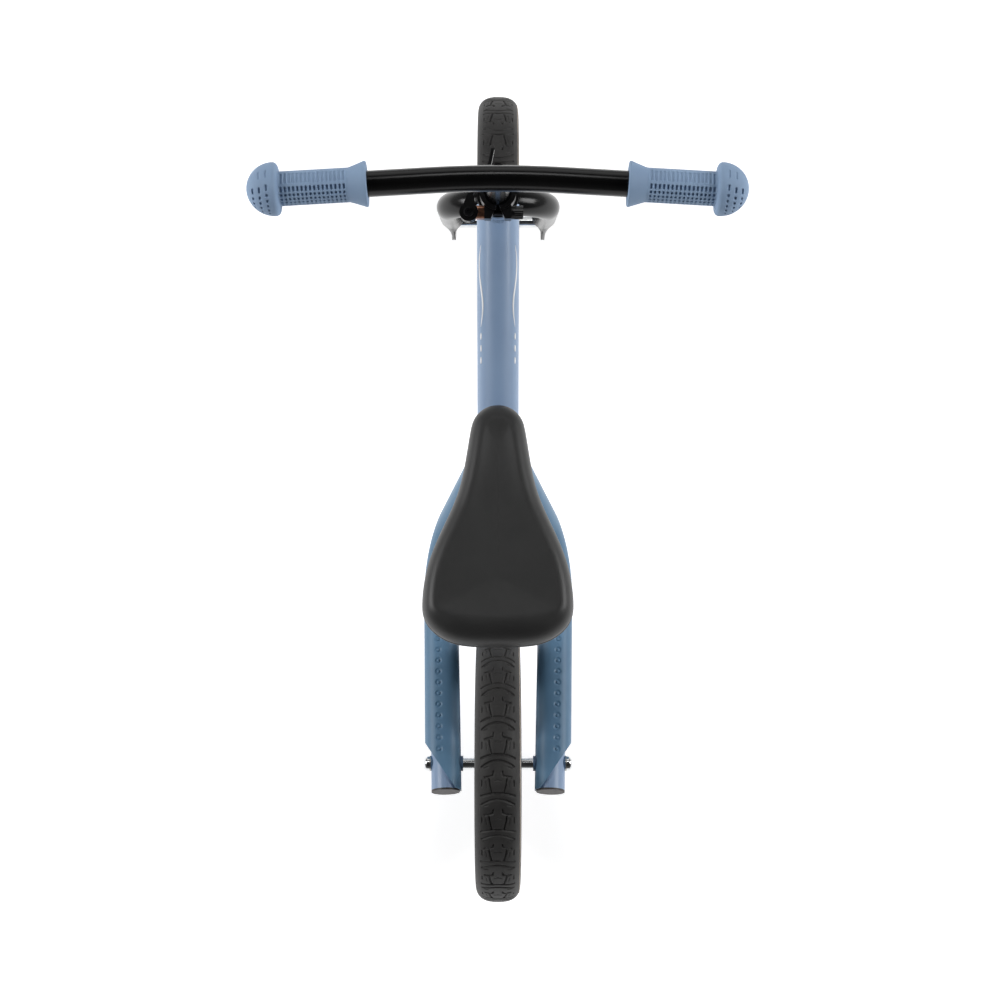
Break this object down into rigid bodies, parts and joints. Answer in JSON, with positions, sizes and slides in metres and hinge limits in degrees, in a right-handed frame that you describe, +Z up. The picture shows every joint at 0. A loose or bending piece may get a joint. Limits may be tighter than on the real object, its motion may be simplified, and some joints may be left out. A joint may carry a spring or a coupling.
{
  "type": "balance bike",
  "caption": "Child's pedal-free balance bike with twelve-inch wheels, padded footrest stays, height-adjustable saddle and quick-release handlebar.",
  "frame": {"origin": "on the ground, half-way between the two wheels", "axes": "+Y forward towards the front wheel, +X to the rider's right, +Z up"},
  "size_m": [0.4262, 0.908, 0.5825],
  "materials": {
    "frame_paint": "satin powder coat",
    "black_paint": "gloss powder coat",
    "pad_plastic": "moulded matt",
    "grip_rubber": "matt moulded rubber",
    "tyre_rubber": "matt",
    "black_plastic": "moulded satin",
    "chrome": "polished",
    "zinc_steel": "zinc plated",
    "saddle_vinyl": "matt vinyl cover over foam"
  },
  "bodies": {
    "frame": {"head_tube": "frame_paint", "main_tube": "frame_paint", "seat_tube": "frame_paint", "right_stay": "frame_paint", "left_stay": "frame_paint", "rear_axle_bosses": "frame_paint", "stay_end_plugs": "black_plastic", "right_footrest_pad": "pad_plastic", "left_footrest_pad": "pad_plastic", "lower_headset_cup": "black_paint", "upper_headset_cup": "black_paint", "headset_bearings": "zinc_steel", "seat_clamp": "black_paint", "seat_clamp_bolt": "zinc_steel", "seat_clamp_nut": "zinc_steel", "rear_axle": "zinc_steel", "rear_axle_sleeves": "chrome", "rear_axle_washers": "zinc_steel", "rear_axle_bolts": "chrome"},
    "fork": {"fork_steerer": "black_paint", "fork_legs": "black_paint", "crown_race": "zinc_steel", "upper_race": "black_paint", "headset_lock_nut": "black_paint", "qr_collar": "black_paint", "qr_bolt": "zinc_steel", "qr_nut": "zinc_steel", "qr_cam_seat": "black_paint", "front_axle": "zinc_steel", "front_axle_sleeves": "chrome", "front_axle_washers": "zinc_steel", "front_axle_bolts": "chrome"},
    "qr_lever": {"qr_lever": "black_paint"},
    "handlebar": {"stem": "black_paint", "handlebar": "black_paint", "left_grip": "grip_rubber", "right_grip": "grip_rubber"},
    "seat": {"seat_post": "zinc_steel", "saddle_clamp": "black_paint", "saddle_clamp_bolt": "zinc_steel", "saddle_clamp_nut": "zinc_steel", "saddle_rails": "black_paint", "saddle_base": "black_plastic", "saddle_cushion": "saddle_vinyl"},
    "front_wheel": {"front_tyre": "tyre_rubber", "front_wheel_core": "black_plastic", "front_bearings": "zinc_steel"},
    "rear_wheel": {"rear_tyre": "tyre_rubber", "rear_wheel_core": "black_plastic", "rear_bearings": "zinc_steel"}
  },
  "joints": [
    {"name": "steering", "type": "hinge", "parent": "frame", "child": "fork", "pos_m": [0, 0.21297, 0.3866], "axis": [0, -0.342, 0.9397], "continuous": true},
    {"name": "front_wheel_spin", "type": "hinge", "parent": "fork", "child": "front_wheel", "pos_m": [0, 0.313, 0.141], "axis": [1, 0, 0], "continuous": true},
    {"name": "rear_wheel_spin", "type": "hinge", "parent": "frame", "child": "rear_wheel", "pos_m": [0, -0.313, 0.141], "axis": [1, 0, 0], "continuous": true},
    {"name": "bar_height", "type": "slide", "parent": "fork", "child": "handlebar", "axis": [0, -0.342, 0.9397], "range_m": [-0.03, 0.05]},
    {"name": "seat_height", "type": "slide", "parent": "frame", "child": "seat", "axis": [0, -0.342, 0.9397], "range_m": [-0.012, 0.05]},
    {"name": "qr_lever_turn", "type": "hinge", "parent": "fork", "child": "qr_lever", "pos_m": [-0.0271, 0.17003, 0.45195], "axis": [0, -0.342, 0.9397], "range_deg": [0, 150]}
  ]
}
